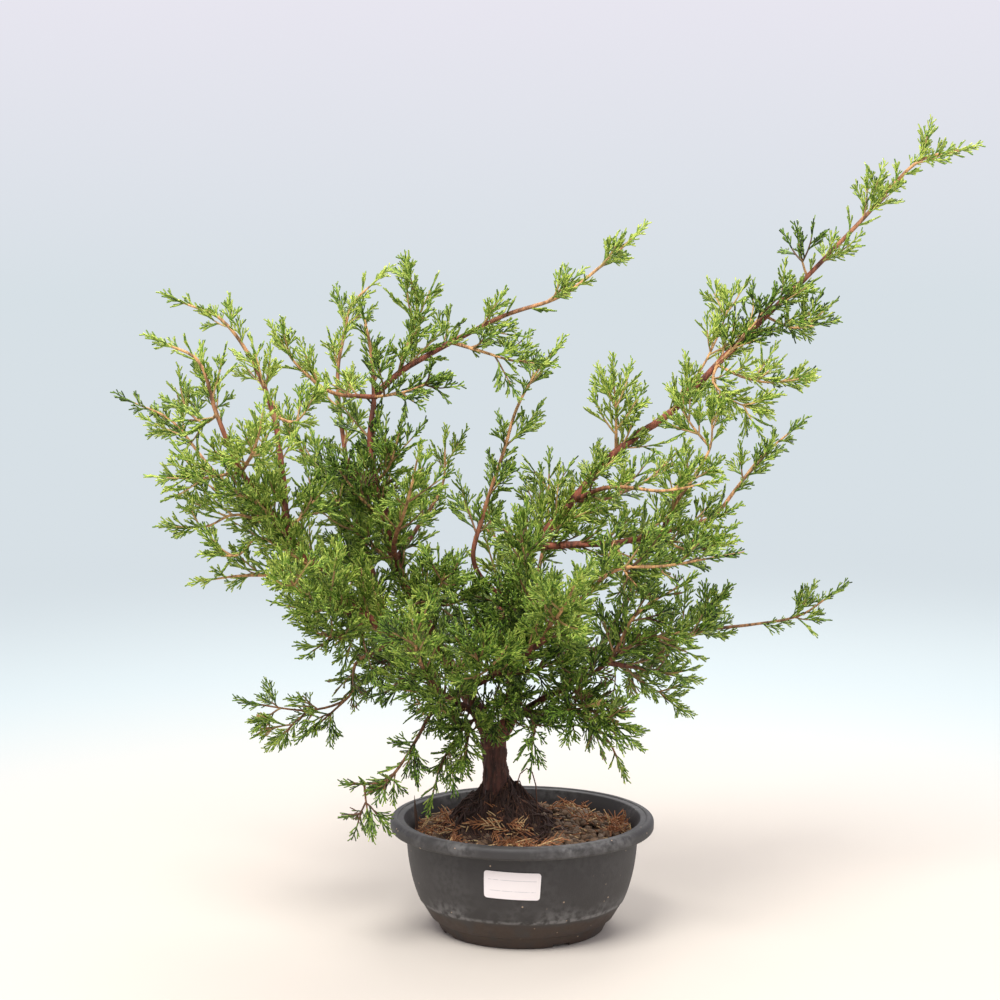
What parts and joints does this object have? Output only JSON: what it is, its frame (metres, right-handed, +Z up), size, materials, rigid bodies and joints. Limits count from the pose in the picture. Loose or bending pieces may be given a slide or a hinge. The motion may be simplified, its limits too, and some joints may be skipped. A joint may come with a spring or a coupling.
{
  "type": "potted juniper bonsai",
  "caption": "Young juniper bonsai with wide, airy leafy limbs on a short flared trunk, growing in a round black plastic training pot with a plain paper label.",
  "frame": {"origin": "centre of the pot's flat underside, on the surface that it stands on", "axes": "+Z up the pot's axis; +X towards the long leader that leans to the right; -Y is the front, where the label is"},
  "size_m": [0.6211, 0.3315, 0.5702],
  "materials": {
    "pot_plastic": "matte",
    "soil": "matte",
    "root_mat": "matte",
    "bark": "matte",
    "foliage": "satin",
    "label_paper": "matte",
    "stick_wood": "matte"
  },
  "bodies": {
    "root": {"foliage_back_centre": "foliage", "foliage_back_left": "foliage", "foliage_back_left_low": "foliage", "foliage_back_low": "foliage", "foliage_back_middle": "foliage", "foliage_back_right": "foliage", "foliage_back_right_upper": "foliage", "foliage_back_upright": "foliage", "foliage_centre_leader": "foliage", "foliage_front_centre": "foliage", "foliage_front_centre_high": "foliage", "foliage_front_left": "foliage", "foliage_front_left_upper": "foliage", "foliage_front_middle": "foliage", "foliage_front_right": "foliage", "foliage_leader_side_left": "foliage", "foliage_left_back_spray": "foliage", "foliage_left_hanging": "foliage", "foliage_left_leader": "foliage", "foliage_left_outer_low": "foliage", "foliage_left_upright": "foliage", "foliage_low_front_hanging": "foliage", "foliage_low_right": "foliage", "foliage_low_right_hanging": "foliage", "foliage_low_right_outer": "foliage", "foliage_middle_upright": "foliage", "foliage_right_arm_back": "foliage", "foliage_right_arm_low": "foliage", "foliage_right_leader": "foliage", "foliage_right_middle_1": "foliage", "foliage_right_middle_2": "foliage", "foliage_right_upright": "foliage", "foliage_top_arm": "foliage", "foliage_top_arm_spur": "foliage", "foliage_top_tuft": "foliage", "label": "label_paper", "pot": "pot_plastic", "root_ball": "root_mat", "soil": "soil", "stick": "stick_wood", "trunk_and_limbs": "bark"}
  },
  "joints": []
}
